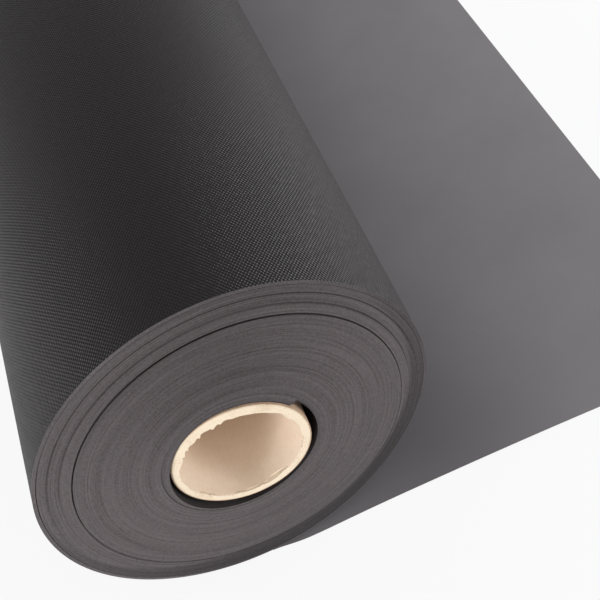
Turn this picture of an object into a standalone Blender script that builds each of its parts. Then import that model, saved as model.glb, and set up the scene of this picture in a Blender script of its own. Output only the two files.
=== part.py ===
"""A roll of weed control fabric with its loose end laid out on the floor.

Metres, +Z up, +Y along the roll from the front end to the rear end, and +X from the roll towards the
cut end of the laid sheet. The origin is on the floor, below the middle of the whole object.
"""

import math

import bmesh
import bpy
from mathutils import Matrix, Vector

# Driving dimensions of the web, which is the one long piece of fabric
web_width = 1.0
web_thickness = 0.00045
roll_radius = 0.121
laid_length = 0.318

# Driving dimensions of the core, a spiral-wound board tube for a three-inch spindle
core_bore_radius = 0.038
core_wall = 0.005
core_length = 1.0024
inner_ply_thickness = 0.0005
outer_ply_thickness = 0.0006

# Where the core and the inner turns have settled in the soft roll, from the roll's axis
core_offset_x = -0.0021
core_offset_z = -0.0101
pack_offset_x = 0.0008
pack_offset_z = -0.0043

# The outer pack of turns, and the first few turns round the core
outer_pack_depth = 0.0197
first_turns_bore_step = 0.0036
first_turns_least_wall = 0.0012
first_turns_notch_angle = math.radians(52)

# The turns have crept along the axis: evenly across the roll, and a set-back of each inner pack
creep_share = 0.09
inner_wraps_set_back = 0.0025
first_turns_set_back = 0.0050

# The web where it is pressed under the roll, and the low hump in the laid sheet
pressed_half_width = 0.014
sheet_hump_height = 0.0018
sheet_flat_margin = 0.045

clearance = 0.0003
turn_gap = 0.00045
drawn_turns = 2

round_segments = 96
spiral_segments = 96
hump_segments = 24
smooth_angle = math.radians(35)

roll_axis_height = web_thickness + clearance + roll_radius
roll_axis_x = (roll_radius - laid_length) / 2
core_outer_radius = core_bore_radius + core_wall
pack_radius = roll_radius - outer_pack_depth
first_turns_inner_radius = core_outer_radius + clearance
first_turns_outer_radius = first_turns_inner_radius + first_turns_bore_step + first_turns_least_wall
front_reach = web_width / 2 + creep_share * roll_radius
rear_reach = max(
    front_reach,
    web_width / 2 + inner_wraps_set_back + creep_share * (pack_radius + pack_offset_x),
)
middle_y = (front_reach - rear_reach) / 2


def clear_scene():
    for obj in list(bpy.data.objects):
        bpy.data.objects.remove(obj, do_unlink=True)


def make_material(name, colour, roughness):
    material = bpy.data.materials.new(name)
    material.use_nodes = True
    shader = material.node_tree.nodes["Principled BSDF"]
    shader.inputs["Base Color"].default_value = (*colour, 1)
    shader.inputs["Roughness"].default_value = roughness
    shader.inputs["Metallic"].default_value = 0
    return material


def make_empty(name, location, parent):
    empty = bpy.data.objects.new(name, None)
    empty.location = location
    empty.parent = parent
    bpy.context.collection.objects.link(empty)
    return empty


def curve_points(centre, radius_at, start, sweep, count):
    """Points in the XZ plane round a centre, where the radius follows the share of the sweep."""
    points = []
    for step in range(count + 1):
        share = step / count
        angle = start + sweep * share
        radius = radius_at(share)
        points.append(Vector((centre.x + radius * math.cos(angle), 0, centre.z + radius * math.sin(angle))))
    return points


def circle_points(centre, radius, start=0.0):
    return curve_points(centre, lambda share: radius, start, math.tau, round_segments)[:-1]


def add_chain(bm, points, closed):
    verts = [bm.verts.new(point) for point in points]
    edges = [bm.edges.new(pair) for pair in zip(verts, verts[1:])]
    if closed:
        edges.append(bm.edges.new((verts[-1], verts[0])))
    return edges


def make_prism(name, side_a, side_b, closed, length, start_y, slope, material, parent):
    """A solid whose section lies between two lines in the XZ plane, drawn out along +Y."""
    bm = bmesh.new()
    edges = add_chain(bm, side_a, closed) + add_chain(bm, side_b, closed)
    section = bmesh.ops.bridge_loops(bm, edges=edges)["faces"]
    drawn = bmesh.ops.extrude_face_region(bm, geom=section)["geom"]
    far_verts = [item for item in drawn if isinstance(item, bmesh.types.BMVert)]
    bmesh.ops.translate(bm, verts=far_verts, vec=(0, length, 0))
    lean = Matrix.Identity(4)
    lean[1][0] = slope
    bmesh.ops.transform(bm, matrix=Matrix.Translation((0, start_y, 0)) @ lean, verts=bm.verts)
    bmesh.ops.recalc_face_normals(bm, faces=bm.faces)
    mesh = bpy.data.meshes.new(name)
    bm.to_mesh(mesh)
    bm.free()
    mesh.shade_smooth()
    mesh.set_sharp_from_angle(angle=smooth_angle)
    mesh.materials.append(material)
    obj = bpy.data.objects.new(name, mesh)
    bpy.context.collection.objects.link(obj)
    obj.parent = parent
    return obj


def make_ring(name, centre, inner_radius, outer_radius, length, start_y, slope, material, parent):
    inner = circle_points(centre, inner_radius)
    outer = circle_points(centre, outer_radius)
    return make_prism(name, inner, outer, True, length, start_y, slope, material, parent)


def least_turn_gap(points, points_per_turn, thickness):
    """The least clear distance between one turn of a spiral and the next."""
    pairs = zip(points, points[points_per_turn:])
    return min((a - b).length for a, b in pairs) - thickness


def make_core(parent, board, bore_paper, brown_paper):
    """The core tube, and the thin plies that line its bore and face its outside."""
    centre = Vector((core_offset_x, 0, core_offset_z))
    start_y = -core_length / 2
    tube_inner = core_bore_radius + inner_ply_thickness + clearance
    tube_outer = core_outer_radius - outer_ply_thickness - clearance
    inner_ply_outer = core_bore_radius + inner_ply_thickness
    outer_ply_inner = core_outer_radius - outer_ply_thickness
    rings = (
        ("core_inner_ply", core_bore_radius, inner_ply_outer, bore_paper),
        ("core_tube", tube_inner, tube_outer, board),
        ("core_outer_ply", outer_ply_inner, core_outer_radius, brown_paper),
    )
    for name, inner_radius, outer_radius, material in rings:
        make_ring(name, centre, inner_radius, outer_radius, core_length, start_y, 0, material, parent)


def make_first_turns(parent, fabric):
    """The first few turns, whose bore opens in a spiral from where the web's inner end lies."""
    touching_share = 0.30
    opened_share = 0.56
    centre = Vector((core_offset_x, 0, core_offset_z))

    def bore_radius(share):
        opening = min(1, max(0, (share - touching_share) / (opened_share - touching_share)))
        eased = (1 - math.cos(math.pi * opening)) / 2
        return first_turns_inner_radius + first_turns_bore_step * eased

    bore = curve_points(centre, bore_radius, first_turns_notch_angle, math.tau, round_segments)
    outer = circle_points(centre, first_turns_outer_radius, first_turns_notch_angle)
    start_y = first_turns_set_back - web_width / 2
    make_prism("first_turns", bore, outer, True, web_width, start_y, creep_share, fabric, parent)


def make_wraps(parent, fabric):
    """The inner and the outer pack of turns, whose ends meet at a step in the end face."""
    core_centre = Vector((core_offset_x, 0, core_offset_z))
    pack_centre = Vector((pack_offset_x, 0, pack_offset_z))
    axis = Vector((0, 0, 0))
    inner_start_y = inner_wraps_set_back - web_width / 2
    inner_bore = circle_points(core_centre, first_turns_outer_radius + clearance)
    inner_outside = circle_points(pack_centre, pack_radius)
    make_prism("inner_wraps", inner_bore, inner_outside, True, web_width, inner_start_y, creep_share,
               fabric, parent)
    winding_depth = drawn_turns * (web_thickness + turn_gap) + web_thickness + clearance
    outer_bore = circle_points(pack_centre, pack_radius + clearance)
    outer_outside = circle_points(axis, roll_radius - winding_depth)
    make_prism("outer_wraps", outer_bore, outer_outside, True, web_width, -web_width / 2, creep_share,
               fabric, parent)


def make_outer_turns(parent, fabric):
    """The outermost turns, wound inwards from the floor, up the left side and over the top."""
    pitch = web_thickness + turn_gap
    axis = Vector((0, 0, 0))
    count = spiral_segments * drawn_turns
    start = -math.pi / 2
    sweep = -math.tau * drawn_turns
    outside = curve_points(axis, lambda share: roll_radius - pitch * drawn_turns * share, start, sweep, count)
    inside = curve_points(axis, lambda share: roll_radius - web_thickness - pitch * drawn_turns * share,
                          start, sweep, count)
    make_prism("outer_turns", inside, outside, False, web_width, -web_width / 2, creep_share, fabric, parent)
    gap = least_turn_gap(outside, spiral_segments, web_thickness)
    print(f"least gap between the outer turns: {gap * 1000:.2f} mm")


def make_lead_off(parent, fabric):
    """The web pressed flat between the roll and the floor, where it leaves the roll."""
    bottom = [Vector((-pressed_half_width, 0, 0)), Vector((pressed_half_width, 0, 0))]
    top = [point + Vector((0, 0, web_thickness)) for point in bottom]
    make_prism("lead_off", bottom, top, False, web_width, -web_width / 2, 0, fabric, parent)


def make_laid_sheet(parent, fabric):
    """The web laid out on the floor as far as its cut end, with one low hump across its middle."""
    start_x = pressed_half_width + clearance
    hump_start = start_x + sheet_flat_margin
    hump_end = laid_length - sheet_flat_margin
    bottom = [Vector((start_x, 0, 0))]
    for step in range(hump_segments + 1):
        share = step / hump_segments
        rise = sheet_hump_height * (1 - math.cos(math.tau * share)) / 2
        bottom.append(Vector((hump_start + (hump_end - hump_start) * share, 0, rise)))
    bottom.append(Vector((laid_length, 0, 0)))
    top = [point + Vector((0, 0, web_thickness)) for point in bottom]
    make_prism("laid_sheet", bottom, top, False, web_width, -web_width / 2, 0, fabric, parent)


def main():
    clear_scene()
    board = make_material("core_board", (0.78, 0.66, 0.50), 0.85)
    bore_paper = make_material("core_bore_paper", (0.62, 0.44, 0.32), 0.85)
    brown_paper = make_material("core_brown_paper", (0.35, 0.22, 0.13), 0.8)
    edge_fabric = make_material("fabric_edges", (0.115, 0.103, 0.105), 0.9)
    ribbed_fabric = make_material("ribbed_fabric", (0.055, 0.05, 0.052), 0.6)
    plain_fabric = make_material("plain_fabric", (0.15, 0.145, 0.15), 0.75)
    floor_line = make_empty("floor_line", (roll_axis_x, middle_y, 0), None)
    nip = make_empty("nip", (0, 0, 0), floor_line)
    roll_axis = make_empty("roll_axis", (0, 0, roll_axis_height), nip)
    make_core(roll_axis, board, bore_paper, brown_paper)
    make_first_turns(roll_axis, edge_fabric)
    make_wraps(roll_axis, edge_fabric)
    make_outer_turns(roll_axis, ribbed_fabric)
    make_lead_off(nip, plain_fabric)
    make_laid_sheet(floor_line, plain_fabric)


main()
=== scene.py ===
"""A roll of weed control fabric with its loose end laid out on a pale floor, dressed for looks.

Metres, +Z up, +Y along the roll from the front end to the rear end, and +X from the roll towards the
cut end of the laid sheet. Angles round the roll are seen from its front end: 0 at the right, 90 on top.
"""

import math
import random

import bmesh
import bpy
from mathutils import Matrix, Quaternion, Vector, noise


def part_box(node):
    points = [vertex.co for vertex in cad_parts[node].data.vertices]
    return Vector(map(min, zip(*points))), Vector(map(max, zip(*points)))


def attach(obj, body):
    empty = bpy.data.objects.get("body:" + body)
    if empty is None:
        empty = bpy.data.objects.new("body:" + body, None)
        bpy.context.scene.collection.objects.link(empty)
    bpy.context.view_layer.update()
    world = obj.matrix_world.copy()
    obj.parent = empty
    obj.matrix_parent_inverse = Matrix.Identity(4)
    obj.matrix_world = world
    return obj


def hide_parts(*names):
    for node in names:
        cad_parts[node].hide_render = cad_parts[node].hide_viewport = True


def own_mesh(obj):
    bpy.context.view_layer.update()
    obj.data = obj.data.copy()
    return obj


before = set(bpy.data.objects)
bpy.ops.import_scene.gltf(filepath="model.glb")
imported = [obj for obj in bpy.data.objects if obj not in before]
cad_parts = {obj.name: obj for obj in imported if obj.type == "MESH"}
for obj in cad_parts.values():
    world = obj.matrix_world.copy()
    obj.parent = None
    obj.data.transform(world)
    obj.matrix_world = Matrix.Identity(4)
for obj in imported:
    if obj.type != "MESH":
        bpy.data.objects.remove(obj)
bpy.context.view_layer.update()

# Camera: above and in front of the roll's front end and a little to its right, tilted on its own
# axis, with a long lens.
camera_place = Vector((-0.0522, -0.9069, 0.6684))
camera_azimuth = math.radians(-2.290)
camera_elevation = math.radians(48.110)
camera_tilt = math.radians(-21.673)
camera_lens = 70.3

camera_data = bpy.data.cameras.new("camera")
camera_data.sensor_width = 36
camera_data.lens = camera_lens
camera = bpy.data.objects.new("camera", camera_data)
bpy.context.collection.objects.link(camera)
towards_camera = Vector((
    math.sin(camera_azimuth) * math.cos(camera_elevation),
    -math.cos(camera_azimuth) * math.cos(camera_elevation),
    math.sin(camera_elevation),
))
camera.location = camera_place
camera.rotation_mode = "QUATERNION"
camera.rotation_quaternion = (-towards_camera).to_track_quat("-Z", "Y") @ Quaternion((0, 0, 1), camera_tilt)
bpy.context.scene.camera = camera
bpy.context.scene.view_settings.view_transform = "Standard"

# Studio: a white floor that keeps a little of the roll's shadow, and even white surroundings. Three
# lit cards give even light, and two more are seen only in the roll's gloss.
floor_size = 60
floor_drop = 0.0002
floor_colour = (0.70, 0.70, 0.72, 1)
floor_shown_white = 0.90
surroundings_light = 0.66
lit_front_end = Vector((-0.0985, -0.40, 0.12))
card_distance = 0.9
fill_card_size = (0.4, 0.2)
gloss_card_size = (0.7, 0.32)
# Each card: its name, its direction from the front end, its power, and whether only gloss shows it.
lit_cards = (
    ("front_left_fill_card", Vector((-0.74, -0.67, 0)), 4.8, False),
    ("front_right_fill_card", Vector((0.84, -0.54, 0)), 2.8, False),
    ("rear_right_fill_card", Vector((0.90, 0.43, 0)), 3.0, False),
    ("left_gloss_card", Vector((-0.93, 0.35, 0.05)), 3.4, True),
    ("right_gloss_card", Vector((0.93, 0.35, 0.05)), 9.5, True),
)


def add_node(tree, kind, inputs=None, **settings):
    """A shader node. Each input, by name or place, is a value or the socket that feeds it."""
    made = tree.nodes.new("ShaderNode" + kind)
    for setting, value in settings.items():
        setattr(made, setting, value)
    for key, value in (inputs or {}).items():
        if isinstance(value, bpy.types.NodeSocket):
            tree.links.new(value, made.inputs[key])
        else:
            made.inputs[key].default_value = value
    return made


def add_math(tree, operation, *values, clamped=False):
    made = add_node(tree, "Math", dict(enumerate(values)), operation=operation, use_clamp=clamped)
    return made.outputs[0]


def white_to_the_eye(tree):
    """The share of white that the camera, gloss and glass see, whatever light falls there."""
    path = add_node(tree, "LightPath")
    seen = add_math(tree, "ADD", path.outputs["Is Camera Ray"], path.outputs["Is Glossy Ray"])
    return add_math(tree, "ADD", seen, path.outputs["Is Transmission Ray"], clamped=True)


floor_bm = bmesh.new()
bmesh.ops.create_grid(floor_bm, x_segments=1, y_segments=1, size=floor_size / 2)
floor_mesh = bpy.data.meshes.new("floor")
floor_bm.to_mesh(floor_mesh)
floor_bm.free()
floor = bpy.data.objects.new("floor", floor_mesh)
bpy.context.collection.objects.link(floor)
floor.location.z = -floor_drop
floor_material = bpy.data.materials.new("studio_floor")
floor_material.use_nodes = True
floor_tree = floor_material.node_tree
floor_tree.nodes.remove(floor_tree.nodes["Principled BSDF"])
floor_diffuse = add_node(floor_tree, "BsdfDiffuse", {"Color": floor_colour})
floor_white = add_node(floor_tree, "Emission", {"Color": (1, 1, 1, 1), "Strength": 1})
floor_share = add_math(floor_tree, "MULTIPLY", white_to_the_eye(floor_tree), floor_shown_white)
floor_mix = add_node(floor_tree, "MixShader", {
    0: floor_share, 1: floor_diffuse.outputs[0], 2: floor_white.outputs[0],
})
floor_tree.links.new(floor_mix.outputs[0], floor_tree.nodes["Material Output"].inputs["Surface"])
floor_mesh.materials.append(floor_material)

world = bpy.data.worlds.new("studio")
world.use_nodes = True
bpy.context.scene.world = world
world_tree = world.node_tree
ambient = world_tree.nodes["Background"]
ambient.inputs["Color"].default_value = (1, 1, 1, 1)
ambient.inputs["Strength"].default_value = surroundings_light
white = add_node(world_tree, "Background", {"Color": (1, 1, 1, 1), "Strength": 1})
world_mix = add_node(world_tree, "MixShader", {
    0: white_to_the_eye(world_tree), 1: ambient.outputs[0], 2: white.outputs[0],
})
world_tree.links.new(world_mix.outputs[0], world_tree.nodes["World Output"].inputs["Surface"])

for name, direction, power, gives_gloss in lit_cards:
    light_data = bpy.data.lights.new(name, "AREA")
    light_data.shape = "RECTANGLE"
    light_data.size, light_data.size_y = gloss_card_size if gives_gloss else fill_card_size
    light_data.energy = power
    light = bpy.data.objects.new(name, light_data)
    bpy.context.collection.objects.link(light)
    light.visible_glossy = gives_gloss
    light.visible_diffuse = not gives_gloss
    light.location = lit_front_end + direction.normalized() * card_distance
    light.rotation_mode = "QUATERNION"
    light.rotation_quaternion = (-direction).to_track_quat("-Z", "Y")

# Core tube: board plies wound on the slant and glued, then sawn to length. The saw left a torn burr
# that hangs over the bore, most of all along its upper left edge.
core_low, core_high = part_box("core_outer_ply")
core_centre = Vector(((core_low.x + core_high.x) / 2, 0, (core_low.z + core_high.z) / 2))
core_radius = (core_high.x - core_low.x) / 2
bore_radius = 0.038
lining_thickness = 0.0004
outer_ply_thickness = 0.0006
ply_space = 0.0001
board_inner = bore_radius + lining_thickness + ply_space
board_outer = core_radius - outer_ply_thickness - ply_space
core_steps = 360
saw_slant = 0.0005
saw_slant_top = math.radians(150)
burr_middle = math.radians(80)
burr_reach = 0.0030
burr_least = 0.0003
tooth_start = math.radians(84)
tooth_end = math.radians(166)
tooth_count = 6
tooth_depth = 0.0021
burr_thickness = 0.0012
board_colour = (0.80, 0.68, 0.52, 1)
board_dark = (0.62, 0.47, 0.32, 1)


def new_material(name, **constants):
    """A material with the Principled shader's unchanging values, and its node tree and shader."""
    made = bpy.data.materials.new(name)
    made.use_nodes = True
    shader = made.node_tree.nodes["Principled BSDF"]
    for label, value in constants.items():
        shader.inputs[label.replace("_", " ")].default_value = value
    return made, made.node_tree, shader


def new_group(name, inputs, outputs):
    """A shader node group with named float inputs and outputs, and its input and output nodes."""
    made = bpy.data.node_groups.new(name, "ShaderNodeTree")
    for label, value in inputs.items():
        socket = made.interface.new_socket(label, in_out="INPUT", socket_type="NodeSocketFloat")
        socket.default_value = value
    for label in outputs:
        made.interface.new_socket(label, in_out="OUTPUT", socket_type="NodeSocketFloat")
    return made, made.nodes.new("NodeGroupInput"), made.nodes.new("NodeGroupOutput")


def use_group(tree, group, values):
    made = tree.nodes.new("ShaderNodeGroup")
    made.node_tree = group
    for label, value in values.items():
        made.inputs[label].default_value = value
    return made


def mix_colours(tree, share, first, second):
    """A colour that goes from the first to the second as the share goes from 0 to 1."""
    return add_node(tree, "Mix", {0: share, 6: first, 7: second}, data_type="RGBA").outputs[2]


def add_bump(tree, shader, height, distance):
    bump = add_node(tree, "Bump", {"Height": height, "Distance": distance, "Strength": 1})
    tree.links.new(bump.outputs[0], shader.inputs["Normal"])


def paint(tree, shader, colour):
    tree.links.new(colour, shader.inputs["Base Color"])


def spin_section(points, centre, steps):
    """A closed line of (radius, y) points, turned once round an axis along Y through the centre."""
    bm = bmesh.new()
    verts = [bm.verts.new((centre.x + radius, y, centre.z)) for radius, y in points]
    edges = [bm.edges.new(pair) for pair in zip(verts, verts[1:] + verts[:1])]
    bmesh.ops.spin(bm, geom=verts + edges, cent=centre, axis=(0, -1, 0), dvec=(0, 0, 0),
                   angle=math.tau, steps=steps, use_merge=True)
    bmesh.ops.recalc_face_normals(bm, faces=bm.faces)
    return bm


def reshape(bm, centre, place):
    """Moves each vertex to place(angle, radius, y), measured round an axis along Y through the centre."""
    for vert in bm.verts:
        across, height = vert.co.x - centre.x, vert.co.z - centre.z
        vert.co = place(math.atan2(height, across), math.hypot(across, height), vert.co.y)


def on_circle(centre, radius, angle, y):
    return Vector((centre.x + radius * math.cos(angle), y, centre.z + radius * math.sin(angle)))


def make_piece(name, bm, materials, body, nodes, sharp_angle):
    """A finished piece that rides on a body and stands for CAD nodes."""
    mesh = bpy.data.meshes.new(name)
    bm.to_mesh(mesh)
    bm.free()
    mesh.shade_smooth()
    mesh.set_sharp_from_angle(angle=math.radians(sharp_angle))
    for material in materials:
        mesh.materials.append(material)
    piece = bpy.data.objects.new(name, mesh)
    bpy.context.collection.objects.link(piece)
    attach(piece, body)
    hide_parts(*nodes)
    return piece


# Paper and board: short fibres that lie along the tube, over broad soft stains.
fibre_proportions = (1, 0.35, 1)
fibres, fibres_in, fibres_out = new_group(
    "paper_fibres", {"Fibre Scale": 900.0, "Stain Scale": 60.0}, ("Tone", "Height"))
fibre_place = add_node(fibres, "TexCoord").outputs["Object"]
fibre_stretch = add_node(fibres, "VectorMath", {0: fibre_place, 1: fibre_proportions},
                         operation="MULTIPLY").outputs[0]
fibre_noise = add_node(fibres, "TexNoise", {
    "Vector": fibre_stretch, "Scale": fibres_in.outputs["Fibre Scale"], "Detail": 3, "Roughness": 0.6,
}).outputs["Fac"]
stain_noise = add_node(fibres, "TexNoise", {
    "Vector": fibre_place, "Scale": fibres_in.outputs["Stain Scale"], "Detail": 3, "Roughness": 0.6,
}).outputs["Fac"]
fibre_tone = add_math(fibres, "ADD", add_math(fibres, "MULTIPLY", fibre_noise, 0.5),
                      add_math(fibres, "MULTIPLY", stain_noise, 0.5))
fibres.links.new(fibre_tone, fibres_out.inputs["Tone"])
fibres.links.new(fibre_noise, fibres_out.inputs["Height"])


def paper_material(name, pale, dark, low, high, bump, roughness):
    made, tree, shader = new_material(name, Roughness=roughness, Specular_IOR_Level=0.25)
    grain = use_group(tree, fibres, {})
    share = add_node(tree, "MapRange", {
        "Value": grain.outputs["Tone"], "From Min": low, "From Max": high,
    }).outputs[0]
    paint(tree, shader, mix_colours(tree, share, dark, pale))
    add_bump(tree, shader, grain.outputs["Height"], bump)
    return made


board = paper_material("core_board", board_colour, board_dark, low=0.30, high=0.52, bump=0.0002,
                       roughness=0.9)

front, rear = core_low.y, core_high.y
cut_rings = 6
cut_margin = 0.0001
saw_chamfer = 0.0004
saw_slant_reach = 0.02
saw_mark_depth = 0.00012
saw_mark_scale = 1500
saw_mark_waves = 4
outside_band = 0.004
bore_band = 0.06
burr_root = 0.0006
burr_lip = 0.0001
burr_margin = 0.0002
burr_set_back = 0.0002
burr_run_out = 0.0016
coarse_waves, coarse_along, coarse_tear = 5, 3, 0.0011
fine_waves, fine_along, fine_tear = 45, 5, 0.0005
tooth_wander = 0.15
tooth_low = 0.35


def noise_round(angle, waves, third):
    """Noise that closes on itself round a circle: more waves make it finer. It also varies with a
    third number, such as the place along the roll."""
    return noise.noise(Vector((math.cos(angle) * waves, math.sin(angle) * waves, third)))


def cut_line(y, inward):
    """The board's section at one end, from its outside to its bore."""
    line = [(board_outer, y + inward * outside_band), (board_outer, y + inward * saw_chamfer)]
    cut_width = board_inner + burr_root - board_outer + saw_chamfer
    for ring in range(cut_rings):
        share = ring / (cut_rings - 1)
        line.append((board_outer - saw_chamfer + cut_width * share, y))
    line += [
        (board_inner, y + inward * burr_lip),
        (board_inner - burr_lip, y + inward * burr_thickness),
        (board_inner, y + inward * (burr_thickness + burr_run_out)),
        (board_inner, y + inward * bore_band),
    ]
    return line


def burr(angle, y):
    """How far the torn burr hangs over the bore. Its upper left edge is torn into teeth."""
    hang = burr_least + burr_reach * math.cos((angle - burr_middle) / 2) ** 4
    coarse = noise_round(angle, coarse_waves, y * coarse_along)
    fine = noise_round(angle, fine_waves, y * fine_along)
    along = (angle - tooth_start) / (tooth_end - tooth_start)
    if 0 < along < 1:
        tooth = (tooth_count * (along + tooth_wander * coarse)) % 1
        hang += tooth_depth * (tooth ** 2 - tooth_low) * math.sin(math.pi * along) ** 0.5
    return max(0.0, hang + coarse_tear * coarse + fine_tear * fine)


def saw_cut(angle, y):
    """The saw went a little out of square: the end's lower right edge lies further back."""
    depth = min(y - front, rear - y)
    slant = saw_slant * (1 - math.cos(angle - saw_slant_top)) * max(0, 1 - depth / saw_slant_reach)
    return y + math.copysign(slant, core_centre.y - y)


def shape_board(angle, radius, y):
    """The burr at the bore's edge, and the saw's marks across the cut."""
    depth = min(y - front, rear - y)
    if radius < board_inner + burr_margin and depth < burr_thickness + burr_margin:
        radius -= burr(angle, y)
        y += math.copysign(burr_set_back, core_centre.y - y)
    elif radius < board_outer - cut_margin and depth < cut_margin:
        across_marks = Vector((
            radius * saw_mark_scale, math.cos(angle) * saw_mark_waves, math.sin(angle) * saw_mark_waves,
        ))
        y += saw_mark_depth * noise.noise(across_marks)
    return on_circle(core_centre, radius, angle, saw_cut(angle, y))


board_section = cut_line(front, 1) + cut_line(rear, -1)[::-1]
board_bm = spin_section(board_section, core_centre, core_steps)
reshape(board_bm, core_centre, shape_board)
make_piece("core_board_tube", board_bm, [board], "roll", ["core_tube"], sharp_angle=40)

# Bore lining: one thin paper ply that faces the bore. Its front edge is torn off behind the saw cut,
# furthest at the lower right, where a flap of it came away.
lining_pale = (0.90, 0.76, 0.62, 1)
lining_dark = (0.83, 0.67, 0.53, 1)
lining_paper = paper_material("core_bore_paper", lining_pale, lining_dark, low=0.28, high=0.62,
                              bump=0.00006, roughness=0.85)
lining_start = 0.0006
lining_lip = 0.0001
lining_rings = (0.012, 0.03)
lining_band = 0.08
lining_torn_reach = 0.01
lining_fray = 0.0003
lining_fray_waves = 30
lining_lift = 0.0004
lining_full_lift = 0.003
tear_roundness = 0.7
# Each tear: the angle of its middle, half its width, and how far back it reaches.
lining_tears = (
    (math.radians(-70), math.radians(11), 0.0030),
    (math.radians(-90), math.radians(17), 0.0013),
)


def lining_edge(y, inward):
    """The lining's section at one end, from its outside to the bore."""
    outside, inside = bore_radius + lining_thickness, bore_radius
    line = [(outside, y + inward * lining_band), (outside, y + inward * lining_start),
            (inside, y + inward * (lining_start + lining_lip))]
    return line + [(inside, y + inward * ring) for ring in (*lining_rings, lining_band)]


def shape_lining(angle, radius, y):
    """The frayed edge with its tears, where the paper lifts off the board."""
    depth = min(y - front, rear - y)
    if depth < lining_torn_reach:
        tear = lining_fray * noise_round(angle, lining_fray_waves, y)
        for middle, width, reach in lining_tears:
            tear += reach * max(0, 1 - ((angle - middle) / width) ** 2) ** tear_roundness
        y += math.copysign(tear, core_centre.y - y)
        if depth > lining_start:
            radius -= lining_lift * min(1, tear / lining_full_lift)
    return on_circle(core_centre, radius, angle, saw_cut(angle, y))


lining_bm = spin_section(lining_edge(front, 1) + lining_edge(rear, -1)[::-1], core_centre, core_steps)
reshape(lining_bm, core_centre, shape_lining)
make_piece("core_bore_lining", lining_bm, [lining_paper], "roll", ["core_inner_ply"],
           sharp_angle=40)

# Outer ply: brown paper glued round the tube, a little scuffed where it meets the saw cut.
brown_pale = (0.52, 0.37, 0.26, 1)
brown_dark = (0.32, 0.21, 0.14, 1)
brown_paper = paper_material("core_brown_paper", brown_pale, brown_dark, low=0.30, high=0.60, bump=0.0001,
                             roughness=0.8)
ply_inside = core_radius - outer_ply_thickness
ply_band = 0.1
ply_set_back = 0.0003
ply_scuff_width = 0.0002
ply_scuff_depth = 0.0006


def outer_ply_edge(y, inward):
    """The outer ply's section at one end, from its inside to its outside."""
    return [(ply_inside, y + inward * ply_band), (ply_inside, y + inward * ply_set_back),
            (core_radius - ply_scuff_width, y + inward * ply_set_back),
            (core_radius, y + inward * ply_scuff_depth), (core_radius, y + inward * ply_band)]


ply_bm = spin_section(outer_ply_edge(front, 1) + outer_ply_edge(rear, -1)[::-1], core_centre, core_steps)
reshape(ply_bm, core_centre,
        lambda angle, radius, y: on_circle(core_centre, radius, angle, saw_cut(angle, y)))
make_piece("core_outer_paper", ply_bm, [brown_paper], "roll", ["core_outer_ply"],
           sharp_angle=40)

# First turns: the innermost turns of the web, which stand back a little and have opened into a
# spiral, so that a gap runs from the web's inner end round most of the core. Painted shade
# darkens the gap's outer wall.
turns_low, turns_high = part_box("outer_turns")
lead_low, lead_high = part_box("lead_off")
roll_radius = 0.121
roll_centre = Vector(((lead_low.x + lead_high.x) / 2, 0, turns_low.z + roll_radius))
web_width = 1.0
creep_share = 0.09
web_front = (turns_low.y + turns_high.y - web_width) / 2
web_rear = web_front + web_width
gap_to_core = 0.0003
bore_step = 0.0044
least_wall = 0.0012
notch_angle = math.radians(30)
touching_share = 0.30
opened_share = 0.58
first_turns_inner = core_radius + gap_to_core
first_turns_outer = first_turns_inner + bore_step + least_wall
first_turns_set_back = 0.0003
wound_steps = 160
edge_inner_side = (0.116, 0.103, 0.105, 1)
edge_outer_side = (0.074, 0.066, 0.067, 1)
# Painted shade: the dark colour painted on the edges at the rim and in the gaps between turns, as shade.
edge_painted_shade = (0.034, 0.031, 0.032, 1)

# Ends of the wound turns: hundreds of cut web edges side by side, a few standing proud, with lint.
wound, wound_in, wound_out = new_group("wound_edges", {"Lint Scale": 700.0}, ("Tone", "Height"))
wound_object = add_node(wound, "TexCoord").outputs["Object"]
wound_place = add_node(wound, "SeparateXYZ", {0: wound_object})
turn_radius = add_node(wound, "Attribute", attribute_name="turn_radius").outputs["Fac"]


def wound_noise(across, round_about, detail):
    """Noise that varies quickly from turn to turn and slowly along each turn, both per metre."""
    vector = add_node(wound, "CombineXYZ", {
        0: add_math(wound, "MULTIPLY", turn_radius, across),
        1: add_math(wound, "MULTIPLY", wound_place.outputs["X"], round_about),
        2: add_math(wound, "MULTIPLY", wound_place.outputs["Z"], round_about),
    }).outputs[0]
    return add_node(wound, "TexNoise", {
        "Vector": vector, "Scale": 1, "Detail": detail, "Roughness": 0.62,
    }).outputs[0]


turn_line_share, turn_band_share, lint_share = 0.45, 0.15, 0.40
turn_lines = wound_noise(across=1100, round_about=9, detail=2)
turn_bands = wound_noise(across=160, round_about=9, detail=3)
lint = add_node(wound, "TexNoise", {
    "Vector": wound_object, "Scale": wound_in.outputs["Lint Scale"], "Detail": 3, "Roughness": 0.6,
}).outputs[0]
wound_tone = add_math(wound, "ADD", add_math(wound, "MULTIPLY", turn_lines, turn_line_share),
                      add_math(wound, "ADD", add_math(wound, "MULTIPLY", turn_bands, turn_band_share),
                               add_math(wound, "MULTIPLY", lint, lint_share)))
wound.links.new(wound_tone, wound_out.inputs["Tone"])
wound.links.new(add_math(wound, "ADD", turn_lines, lint), wound_out.inputs["Height"])

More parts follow.
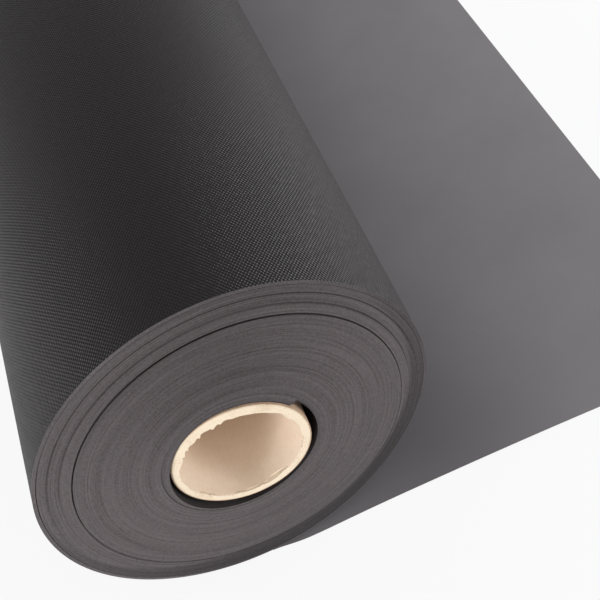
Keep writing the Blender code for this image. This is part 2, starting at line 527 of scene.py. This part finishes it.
edge_fabric, edge_tree, edge_shader = new_material("fabric_edges", Roughness=0.9, Specular_IOR_Level=0.1)
edge_detail = use_group(edge_tree, wound, {})
edge_bump = 0.0001
edge_level = add_node(edge_tree, "MapRange", {
    "Value": edge_detail.outputs["Tone"],
    "From Min": 0.36, "From Max": 0.64, "To Min": 0.70, "To Max": 1.34,
}).outputs[0]
outer_side_share = add_node(edge_tree, "Attribute", attribute_name="outer_side").outputs["Fac"]
# Painted shade: the edges are painted darker where this mask says, as shade at the rim and in the gaps.
painted_shade_share = add_node(edge_tree, "Attribute", attribute_name="painted_shade_mask").outputs["Fac"]
edge_sides = mix_colours(edge_tree, outer_side_share, edge_inner_side, edge_outer_side)
edge_with_painted_shade = mix_colours(edge_tree, painted_shade_share, edge_sides, edge_painted_shade)
paint(edge_tree, edge_shader, add_node(edge_tree, "VectorMath", {0: edge_with_painted_shade, "Scale": edge_level},
                                       operation="SCALE").outputs[0])
add_bump(edge_tree, edge_shader, edge_detail.outputs["Height"], edge_bump)

# The rim has been knocked back underneath and at the lower right, where the roll stands on it.
rim_width = 0.018
rim_even_depth = 0.0022
rim_corner_depth = 0.0055
rim_middle = math.radians(-72)
rim_corner = math.radians(-42)
rim_corner_spread = math.radians(32)
rim_share_least, rim_share_mean, rim_share_swing = 0.02, 0.48, 0.60
# Painted shade: how dark the rim's edges are painted as shade, how soon it sets in, and how much more at
# the very edge.
shade_over_rim, shade_onset, shade_at_edge = 0.72, 5, 0.28
lower_bulge = 0.0016
lively_side = math.radians(85)
lively_least, lively_more = 0.15, 0.85


def end_relief(place):
    """How far back a turn's edge lies at its place in the roll's end, and how much painted shade darkens
    the rim there.
    """
    across, height = place.x - roll_centre.x, place.z - roll_centre.z
    radius, angle = math.hypot(across, height), math.atan2(height, across)
    share = min(1, max(rim_share_least, rim_share_mean + rim_share_swing * math.cos(angle - rim_middle)))
    corner = math.exp(-((angle - rim_corner) / rim_corner_spread) ** 2)
    into_rim = min(1, max(0, (radius - roll_radius) / (rim_width * share) + 1))
    depth = rim_even_depth * share ** 2 + rim_corner_depth * corner
    rounding = depth * (1 - math.sqrt(1 - into_rim ** 2))
    painted_shade = share * (shade_over_rim * min(1, shade_onset * into_rim) + shade_at_edge * into_rim ** 3)
    return rounding - lower_bulge * share * (radius / roll_radius) ** 2, painted_shade


def liveliness(angle):
    """How far the turns' edges stand apart from each other: most on top, least underneath."""
    return lively_least + lively_more * max(0, math.cos(angle - lively_side))


def leaning(y, x):
    """The place along the roll of a turn's point: the turns have crept evenly across the roll."""
    return y + creep_share * (x - roll_centre.x)


def first_bore(angle):
    """The radius of the opened bore, which grows round from the notch where the web's end lies."""
    share = ((angle - notch_angle) / math.tau) % 1
    opening = min(1, max(0, (share - touching_share) / (opened_share - touching_share)))
    return first_turns_inner + bore_step * (1 - math.cos(math.pi * opening)) / 2


drift_kept = 0.5
own_part = 0.5
slipped_back = 0.0008
proud_from, proud_to = 0.30, 0.80
proud_every = 5
proud_by = 5
groove_place = 0.98
groove_depth = 0.00016
outside_set_back = 0.0002
wander_waves, wander_across = 2.2, 900
broad_waves, broad_across, broad_part = 1.2, 130, 0.6


def turn_edges(width, pitch, seed, roughness, slipped):
    """The end of a pack as (share of its width, set-back) points, with a groove between two turns.
    Here and there a turn stands proud, and one at each slipped share of the width has slipped back."""
    shuffled = random.Random(seed)
    turns = round(width / pitch)
    drift, line = 0.0, []
    for turn in range(turns):
        drift = drift_kept * drift + shuffled.gauss(0, roughness)
        own = shuffled.gauss(0, roughness * own_part)
        if any(abs((turn + 0.5) / turns - share) < 0.5 / turns for share in slipped):
            own += slipped_back
        elif proud_from < turn / turns < proud_to and turn % proud_every == 0:
            own -= proud_by * roughness
        line.append(((turn + 0.5) / turns, drift + own))
        if turn < turns - 1:
            line.append(((turn + groove_place) / turns, drift + own + groove_depth))
    return line


def wound_section(inner, outer, pitch, seed, roughness, slipped):
    """The section of a pack of turns, whose two ends show the turns' edges."""
    section = [(inner, web_rear), (inner, web_front)]
    for share, set_back in turn_edges(outer - inner, pitch, seed, roughness, slipped):
        section.append((inner + (outer - inner) * share, web_front + set_back))
    section += [(outer, web_front + outside_set_back), (outer, web_rear - outside_set_back)]
    for share, set_back in reversed(turn_edges(outer - inner, pitch, seed + 1, roughness, ())):
        section.append((inner + (outer - inner) * share, web_rear - set_back))
    return section


def wandering(angle, radius, depth):
    """Each turn's edge wanders a little along the roll as it goes round."""
    own_way = noise_round(angle, wander_waves, radius * wander_across)
    broad_way = noise_round(angle, broad_waves, radius * broad_across)
    return depth * (own_way + broad_part * broad_way)


def from_core(vert):
    return math.hypot(vert.co.x - core_centre.x, vert.co.z - core_centre.z)


def make_pack(name, inner, outer, inner_at, outer_at, pitch, seed, roughness, set_back_at, node,
              slipped=(), painted_shade_at=lambda angle, share: 0):
    """A pack of turns between two lines, each given as the point at an angle. Its front end stands
    back by set_back_at(angle, share of its width), and its edges are painted dark as shade where
    the given shade function says so."""
    section = wound_section(inner, outer, pitch, seed, roughness, slipped)
    bm = spin_section(section, core_centre, wound_steps)
    radius_layer = bm.verts.layers.float.new("turn_radius")
    # Painted shade: a mask of where the edges are painted dark as shade, at the rim and in the gaps.
    painted_shade_layer = bm.verts.layers.float.new("painted_shade_mask")
    side_layer = bm.faces.layers.float.new("outer_side")
    for face in bm.faces:
        by_radius = sorted(face.verts, key=from_core)
        rise = by_radius[-1].co.y - by_radius[0].co.y
        face[side_layer] = 1.0 if rise * by_radius[0].co.y < 0 else 0.0
    for vert in bm.verts:
        across, height = vert.co.x - core_centre.x, vert.co.z - core_centre.z
        angle, radius, y = math.atan2(height, across), math.hypot(across, height), vert.co.y
        vert[radius_layer] = radius
        share = (radius - inner) / (outer - inner)
        place = inner_at(angle).lerp(outer_at(angle), share)
        back, painted_shade = end_relief(place)
        vert[painted_shade_layer] = max(painted_shade, painted_shade_at(angle, share))
        if y < 0:
            back += (y - web_front) * liveliness(angle) + wandering(angle, radius, roughness)
            y = web_front + set_back_at(angle, share) + back
        else:
            y -= back
        place.y = leaning(y, place.x)
        vert.co = place
    return make_piece(name, bm, [edge_fabric], "roll", [node], sharp_angle=50)


held_forward = 0.0026
held_side = math.radians(22)
held_fading = 5
inner_back_mean, inner_back_swing = 0.0003, 0.00025
inner_back_side = math.radians(150)
# Painted shade: shares of a pack's width below and above which its bore and its outside are painted dark as
# shade in the gaps.
bore_line, outside_line = 0.0001, 0.9999


def inner_set_back(angle, share):
    """The inner pack stands back a little, most of all at the upper left. Near the core its turns are
    held where they were wound, which leaves them further forward at the upper right."""
    held = held_forward * max(0, math.cos(angle - held_side)) ** 2 * math.exp(-held_fading * share)
    return inner_back_mean + inner_back_swing * math.cos(angle - inner_back_side) - held


# Painted shade: the first turns' bore, the outer wall of the gap round the core, is painted fully dark as
# shade.
make_pack("wound_first_turns", first_turns_inner, first_turns_outer,
          inner_at=lambda angle: on_circle(core_centre, first_bore(angle), angle, 0),
          outer_at=lambda angle: on_circle(core_centre, first_turns_outer, angle, 0),
          pitch=0.0007, seed=3, roughness=0.00003,
          set_back_at=lambda angle, share: inner_set_back(angle, 0) + first_turns_set_back,
          node="first_turns", painted_shade_at=lambda angle, share: 1 if share < bore_line else 0)

# Inner pack: most of the web, wound a little off the roll's axis and standing back from the outer pack.
pack_low, pack_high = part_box("inner_wraps")
pack_centre = Vector(((pack_low.x + pack_high.x) / 2, 0, (pack_low.z + pack_high.z) / 2))
pack_radius = (pack_high.x - pack_low.x) / 2
pack_space = 0.0001
inner_pack_bore = first_turns_outer + pack_space
pack_gap = 0.0018
pack_gap_middle = math.radians(90)
pack_gap_spread = 1.15
pack_gap_roundness = 1.5
pack_pitch = 0.00052
pack_roughness = 0.000025


def pack_opening(angle):
    """How far the pack has come away from the outer pack: along its top, and not underneath."""
    return max(0, math.cos((angle - pack_gap_middle) / pack_gap_spread)) ** pack_gap_roundness


# Painted shade: where the pack has come away from the outer pack, its outside is painted dark as shade in
# the gap.
make_pack("wound_inner_pack", inner_pack_bore, pack_radius,
          inner_at=lambda angle: on_circle(core_centre, inner_pack_bore, angle, 0),
          outer_at=lambda angle: on_circle(
              pack_centre, pack_radius - pack_gap * pack_opening(angle), angle, 0),
          pitch=pack_pitch, seed=11, roughness=pack_roughness, set_back_at=inner_set_back,
          node="inner_wraps",
          painted_shade_at=lambda angle, share: pack_opening(angle) if share > outside_line else 0)

# Outer pack: the next turns, whose ends stand proud of the inner pack. A few have slipped back.
outer_turn_count = 4
outer_turn_pitch = 0.00056
outer_turn_space = 0.00005
web_thickness = 0.00041
slipped_turns = (0.36, 0.50, 0.70)
outer_pack_bore = pack_radius + pack_space
outer_pack_radius = roll_radius - outer_turn_count * outer_turn_pitch - web_thickness - outer_turn_space
make_pack("wound_outer_pack", outer_pack_bore, outer_pack_radius,
          inner_at=lambda angle: on_circle(pack_centre, outer_pack_bore, angle, 0),
          outer_at=lambda angle: on_circle(roll_centre, outer_pack_radius, angle, 0),
          pitch=pack_pitch, seed=23, roughness=pack_roughness, set_back_at=lambda angle, share: 0,
          node="outer_wraps", slipped=slipped_turns)

# Outer turns: the web itself, wound from the floor up the left side and over the top, with its
# finely ribbed side out. Its crossed ribs come from flat tapes woven over and under each other.
rib_a = (422, 336, 0)
rib_b = (453, -338, 0)
rib_height = 0.00013
ribbed_colour = (0.0155, 0.0135, 0.0141, 1)
ribbed_pale = (0.029, 0.0256, 0.0263, 1)
turn_segments = 192
rim_stations = (0, 0.0006, 0.0014, 0.0026, 0.0045, 0.008, 0.016, 0.04)
rim_reach = 0.04
speckle_part = 0.8

weave, weave_in, weave_out = new_group(
    "woven_tapes", {"Speckle Scale": 1400.0, "Slack Scale": 220.0}, ("Height", "Speckle"))
web_place = add_node(weave, "Attribute", attribute_name="web_place").outputs["Vector"]


def rib_wave(ribs_per_metre):
    phase = add_node(weave, "VectorMath", {0: web_place, 1: ribs_per_metre},
                     operation="DOT_PRODUCT").outputs["Value"]
    return add_math(weave, "COSINE", add_math(weave, "MULTIPLY", phase, math.tau))


rib_sum = add_math(weave, "ADD", rib_wave(rib_a), rib_wave(rib_b))
speckle = add_node(weave, "TexNoise", {
    "Vector": web_place, "Scale": weave_in.outputs["Speckle Scale"], "Detail": 2, "Roughness": 0.7,
}).outputs[0]
slack = add_node(weave, "TexNoise", {
    "Vector": web_place, "Scale": weave_in.outputs["Slack Scale"], "Detail": 2, "Roughness": 0.6,
}).outputs[0]
slack_level = add_node(weave, "MapRange", {
    "Value": slack, "From Min": 0.3, "From Max": 0.7, "To Min": 0.55, "To Max": 1.45,
}).outputs[0]
weave_height = add_math(weave, "ADD", add_math(weave, "MULTIPLY", rib_sum, slack_level),
                        add_math(weave, "MULTIPLY", speckle, speckle_part))
weave.links.new(weave_height, weave_out.inputs["Height"])
weave.links.new(speckle, weave_out.inputs["Speckle"])

ribbed_fabric, ribbed_tree, ribbed_shader = new_material(
    "ribbed_fabric", Roughness=0.46, Specular_IOR_Level=0.07)
ribbed_weave = use_group(ribbed_tree, weave, {})
ribbed_share = add_node(ribbed_tree, "MapRange", {
    "Value": ribbed_weave.outputs["Speckle"], "From Min": 0.35, "From Max": 0.75,
}).outputs[0]
paint(ribbed_tree, ribbed_shader, mix_colours(ribbed_tree, ribbed_share, ribbed_colour, ribbed_pale))
add_bump(ribbed_tree, ribbed_shader, ribbed_weave.outputs["Height"], rib_height)

# The web's other side is smooth and paler. A painted shadow darkens it where it leaves the roll at the
# front, as the roll's shade.
plain_colour = (0.211, 0.200, 0.210, 1)
plain_dark = (0.191, 0.181, 0.190, 1)
# Painted shadow: the colour and the place of the roll's shade painted onto the web beside its front end.
plain_painted_shadow = (0.140, 0.132, 0.140, 1)
plain_bump = 0.000008
painted_shadow_place = Vector((0.014, -0.477, 0))
plain_fabric, plain_tree, plain_shader = new_material(
    "plain_fabric", Roughness=0.75, Specular_IOR_Level=0.2, Sheen_Weight=0.05)
plain_place = add_node(plain_tree, "TexCoord").outputs["Object"]
plain_mottle = add_node(plain_tree, "TexNoise", {
    "Vector": plain_place, "Scale": 14, "Detail": 6, "Roughness": 0.6,
}).outputs[0]
plain_share = add_node(plain_tree, "MapRange", {
    "Value": plain_mottle, "From Min": 0.26, "From Max": 0.66,
}).outputs[0]
# Painted shadow: the web darkens towards the place beside the roll's front end, where its shade falls.
painted_shadow_distance = add_node(plain_tree, "VectorMath", {0: plain_place, 1: painted_shadow_place},
                           operation="DISTANCE").outputs["Value"]
painted_shadow_share = add_node(plain_tree, "MapRange", {
    "Value": painted_shadow_distance, "From Min": 0.12, "From Max": -0.02,
}, interpolation_type="SMOOTHSTEP").outputs[0]
plain_mix = mix_colours(plain_tree, plain_share, plain_dark, plain_colour)
paint(plain_tree, plain_shader, mix_colours(plain_tree, painted_shadow_share, plain_mix, plain_painted_shadow))
plain_weave = use_group(plain_tree, weave, {})
add_bump(plain_tree, plain_shader, plain_weave.outputs["Height"], plain_bump)


def web_strip(length, along_cuts, stations, place):
    """A flat strip of web, cut across at the stations, moved to place(along, across), and then given
    its thickness below the side that faced up."""
    bm = bmesh.new()
    across_cuts = len(stations) - 1
    bmesh.ops.create_grid(bm, x_segments=along_cuts, y_segments=across_cuts, size=0.5)
    layer = bm.verts.layers.float_vector.new("web_place")
    for vert in bm.verts:
        along = (vert.co.x + 0.5) * length
        across = stations[round((vert.co.y + 0.5) * across_cuts)]
        vert[layer] = (along, across, 0)
        vert.co = place(along, across)
    bm.normal_update()
    bmesh.ops.solidify(bm, geom=bm.faces, thickness=web_thickness)
    bm.normal_update()
    return bm


turn_start = -math.pi / 2
wound_length = math.tau * roll_radius * outer_turn_count
station_step = 0.1
side_stations = list(rim_stations) + [station_step + station_step * step for step in range(9)]
side_stations += [web_width - station for station in reversed(rim_stations)]
facing_least = 0.7


def wind_outer(along, across):
    """The place of a point of the web, wound inwards from the floor with its rims knocked back."""
    share = along / wound_length
    angle = turn_start - math.tau * outer_turn_count * share
    radius = roll_radius - outer_turn_pitch * outer_turn_count * share
    place = on_circle(roll_centre, radius, angle, 0)
    back, _ = end_relief(place)
    near_front, near_rear = max(0, 1 - across / rim_reach), max(0, 1 - (web_width - across) / rim_reach)
    place.y = leaning(web_front + across + back * (near_front - near_rear), place.x)
    return place


turns_bm = web_strip(wound_length, turn_segments * outer_turn_count, side_stations, wind_outer)
for face in turns_bm.faces:
    middle = face.calc_center_median()
    outward = Vector((middle.x - roll_centre.x, 0, middle.z - roll_centre.z)).normalized()
    facing = face.normal.dot(outward)
    face.material_index = 0 if facing > facing_least else 1 if facing < -facing_least else 2
make_piece("wound_outer_turns", turns_bm, [ribbed_fabric, plain_fabric, edge_fabric], "roll",
           ["outer_turns"], sharp_angle=40)

# Pressed web: the stretch that lies between the roll and the floor, with its plain side up.
sheet_low, sheet_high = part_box("laid_sheet")
flat_cuts = 20
flat_stations = [step / flat_cuts * web_width for step in range(flat_cuts + 1)]
nip_forward = 0.0022
nip_forward_reach = 0.05
nip_forward_start = 0.015
nip_forward_depth = 0.2


def lay_strip(start, end, cuts, height_at):
    """A strip of web on the floor, its plain side up, from one place along X to another. Its front
    edge is drawn a little forward where the roll stands on it."""
    def place(along, across):
        x = start + along
        begins = 1 - math.exp(-((x - lead_low.x) / nip_forward_start) ** 2)
        forward = nip_forward * begins * math.exp(-((x - roll_centre.x) / nip_forward_reach) ** 2)
        forward *= max(0, 1 - across / nip_forward_depth)
        return Vector((x, web_front + across - forward, height_at(x) + web_thickness))
    bm = web_strip(end - start, cuts, flat_stations, place)
    for face in bm.faces:
        up = face.normal.z
        face.material_index = 0 if up > facing_least else 1 if up < -facing_least else 2
    return bm


pressed_bm = lay_strip(lead_low.x, sheet_low.x, cuts=8, height_at=lambda x: 0)
pressed = make_piece("pressed_web", pressed_bm, [plain_fabric, ribbed_fabric, edge_fabric], "nip",
                     ["lead_off"], sharp_angle=40)

# Laid sheet: the loose end of the web, smooth side up, flat on the floor but for one low hump.
sheet_margin = 0.045
hump_height = 0.0010


def hump(x):
    share = (x - sheet_low.x - sheet_margin) / (sheet_high.x - sheet_low.x - 2 * sheet_margin)
    return hump_height * (1 - math.cos(math.tau * min(1, max(0, share)))) / 2


sheet_bm = lay_strip(sheet_low.x, sheet_high.x, cuts=60, height_at=hump)
laid = make_piece("laid_web", sheet_bm, [plain_fabric, ribbed_fabric, edge_fabric], "sheet",
                  ["laid_sheet"], sharp_angle=40)
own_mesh(laid)
